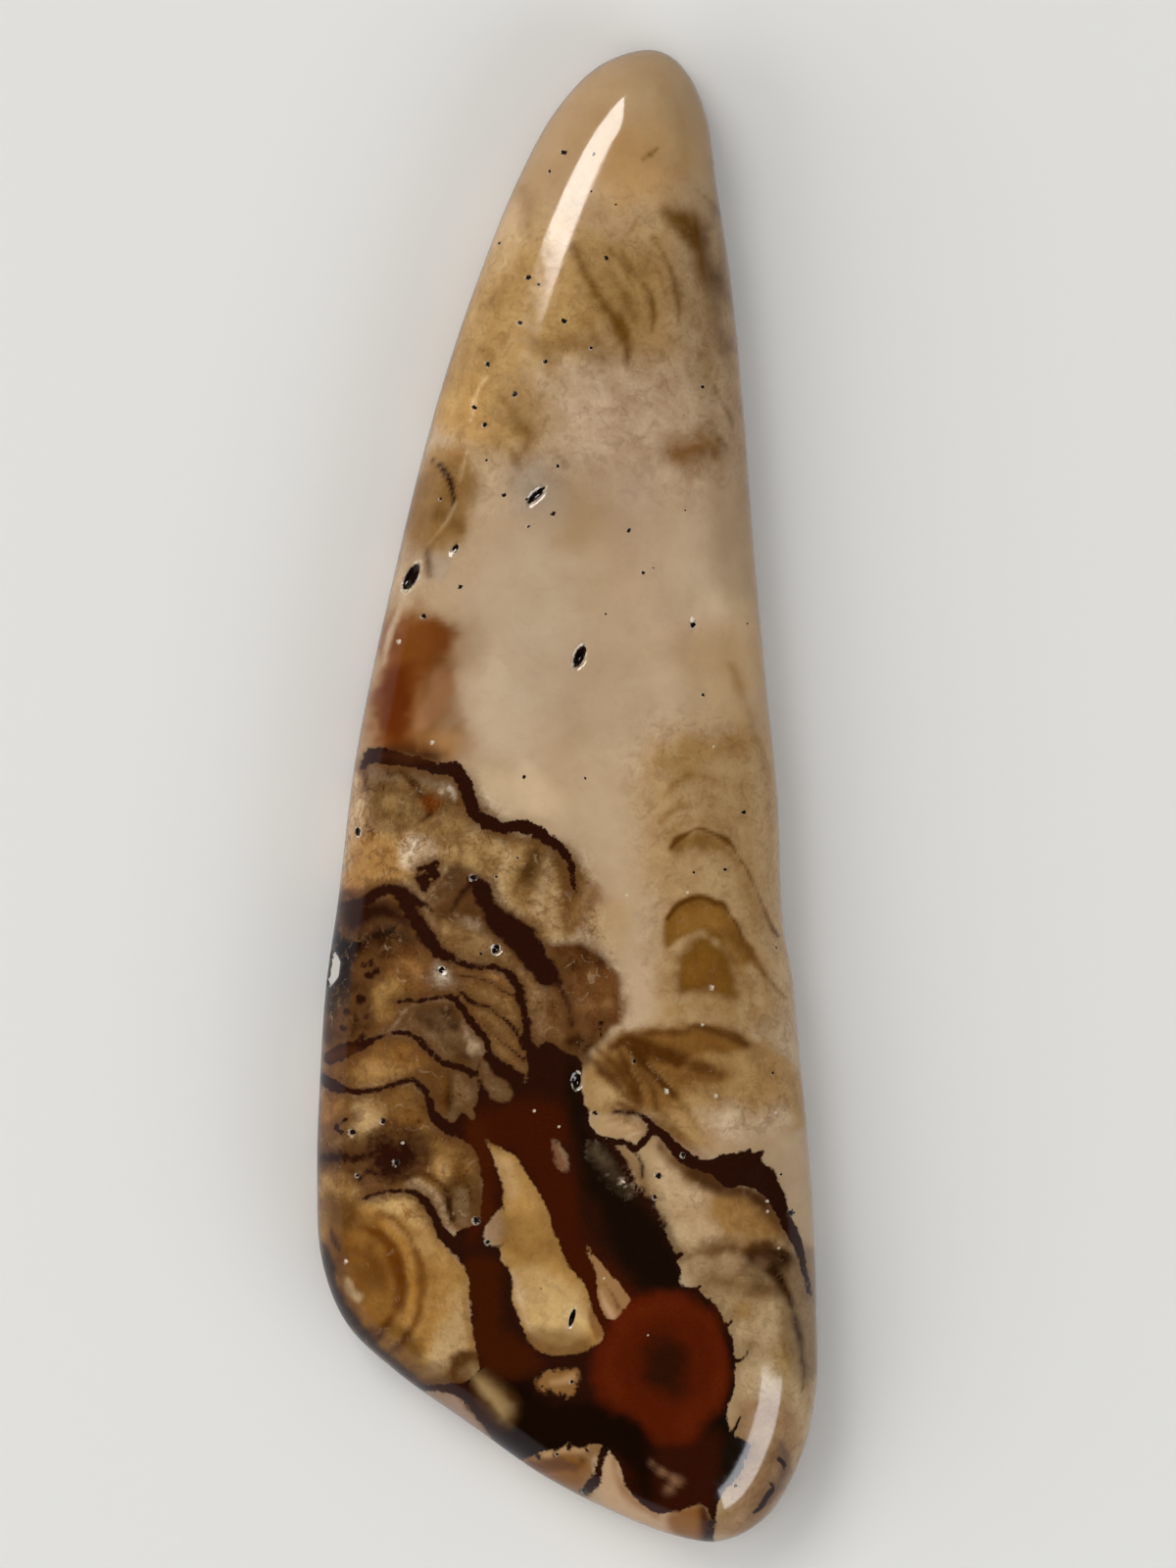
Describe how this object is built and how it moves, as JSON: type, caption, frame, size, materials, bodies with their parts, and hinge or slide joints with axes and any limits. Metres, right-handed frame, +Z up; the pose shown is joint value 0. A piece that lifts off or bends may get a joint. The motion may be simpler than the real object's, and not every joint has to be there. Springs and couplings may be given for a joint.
{
  "type": "picture jasper cabochon",
  "caption": "Freeform polished picture jasper cabochon: long leaning teardrop outline, low dome, flat ground back with a small bevel.",
  "frame": {"origin": "centre of the flat back, on the surface that the stone rests on", "axes": "+Z up out of the dome, +Y along the stone towards its narrow tip, +X to the right as seen from above"},
  "size_m": [0.0204, 0.0607, 0.0056],
  "materials": {
    "polished_jasper": "polished, cream and tan with dark brown and red-brown markings"
  },
  "bodies": {
    "root": {"jasper_cabochon": "polished_jasper"}
  },
  "joints": []
}
